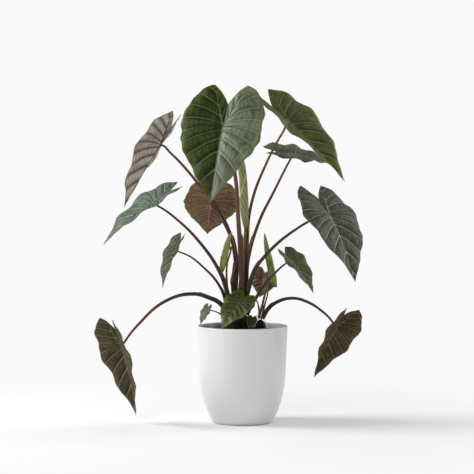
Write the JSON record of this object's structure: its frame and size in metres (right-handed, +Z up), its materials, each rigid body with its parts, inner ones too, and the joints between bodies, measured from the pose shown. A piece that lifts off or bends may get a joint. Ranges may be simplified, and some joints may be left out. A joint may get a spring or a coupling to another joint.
{
  "type": "potted elephant's ear plant",
  "caption": "Arrow-shaped leaves with pale veins on dark arching stalks, rising from corms in a smooth round tapered pot.",
  "frame": {"origin": "centre of the pot's flat underside", "axes": "+Z up, +X to the plant's right as seen from its front, -Y towards its front"},
  "size_m": [0.5282, 0.254, 0.6684],
  "materials": {
    "pot_glaze": "satin",
    "potting_soil": "matte",
    "corm_bark": "matte",
    "leaf_green": "satin",
    "leaf_purple": "matte",
    "leaf_fresh": "satin",
    "stalk_purple": "satin"
  },
  "bodies": {
    "root": {"pot": "pot_glaze", "soil": "potting_soil", "corm": "corm_bark", "corm_offset": "corm_bark", "leaf_top": "leaf_green", "stalk_top": "stalk_purple", "leaf_top_right": "leaf_green", "stalk_top_right": "stalk_purple", "leaf_back_right": "leaf_green", "stalk_back_right": "stalk_purple", "leaf_top_left": "leaf_green", "stalk_top_left": "stalk_purple", "leaf_left": "leaf_green", "stalk_left": "stalk_purple", "leaf_left_small": "leaf_green", "stalk_left_small": "stalk_purple", "leaf_low_left": "leaf_green", "stalk_low_left": "stalk_purple", "leaf_low_right": "leaf_green", "stalk_low_right": "stalk_purple", "leaf_right": "leaf_green", "stalk_right": "stalk_purple", "leaf_right_small": "leaf_green", "stalk_right_small": "stalk_purple", "leaf_back": "leaf_green", "stalk_back": "stalk_purple", "leaf_purple_small": "leaf_purple", "stalk_purple_small": "stalk_purple", "leaf_juvenile": "leaf_fresh", "stalk_juvenile": "stalk_purple", "leaf_tiny": "leaf_fresh", "stalk_tiny": "stalk_purple", "leaf_edge_small": "leaf_green", "stalk_edge_small": "stalk_purple", "leaf_rolled_tall": "leaf_fresh", "stalk_rolled_tall": "stalk_purple", "leaf_rolled_left": "leaf_fresh", "stalk_rolled_left": "stalk_purple", "leaf_rolled_right": "leaf_fresh", "stalk_rolled_right": "stalk_purple"}
  },
  "joints": []
}
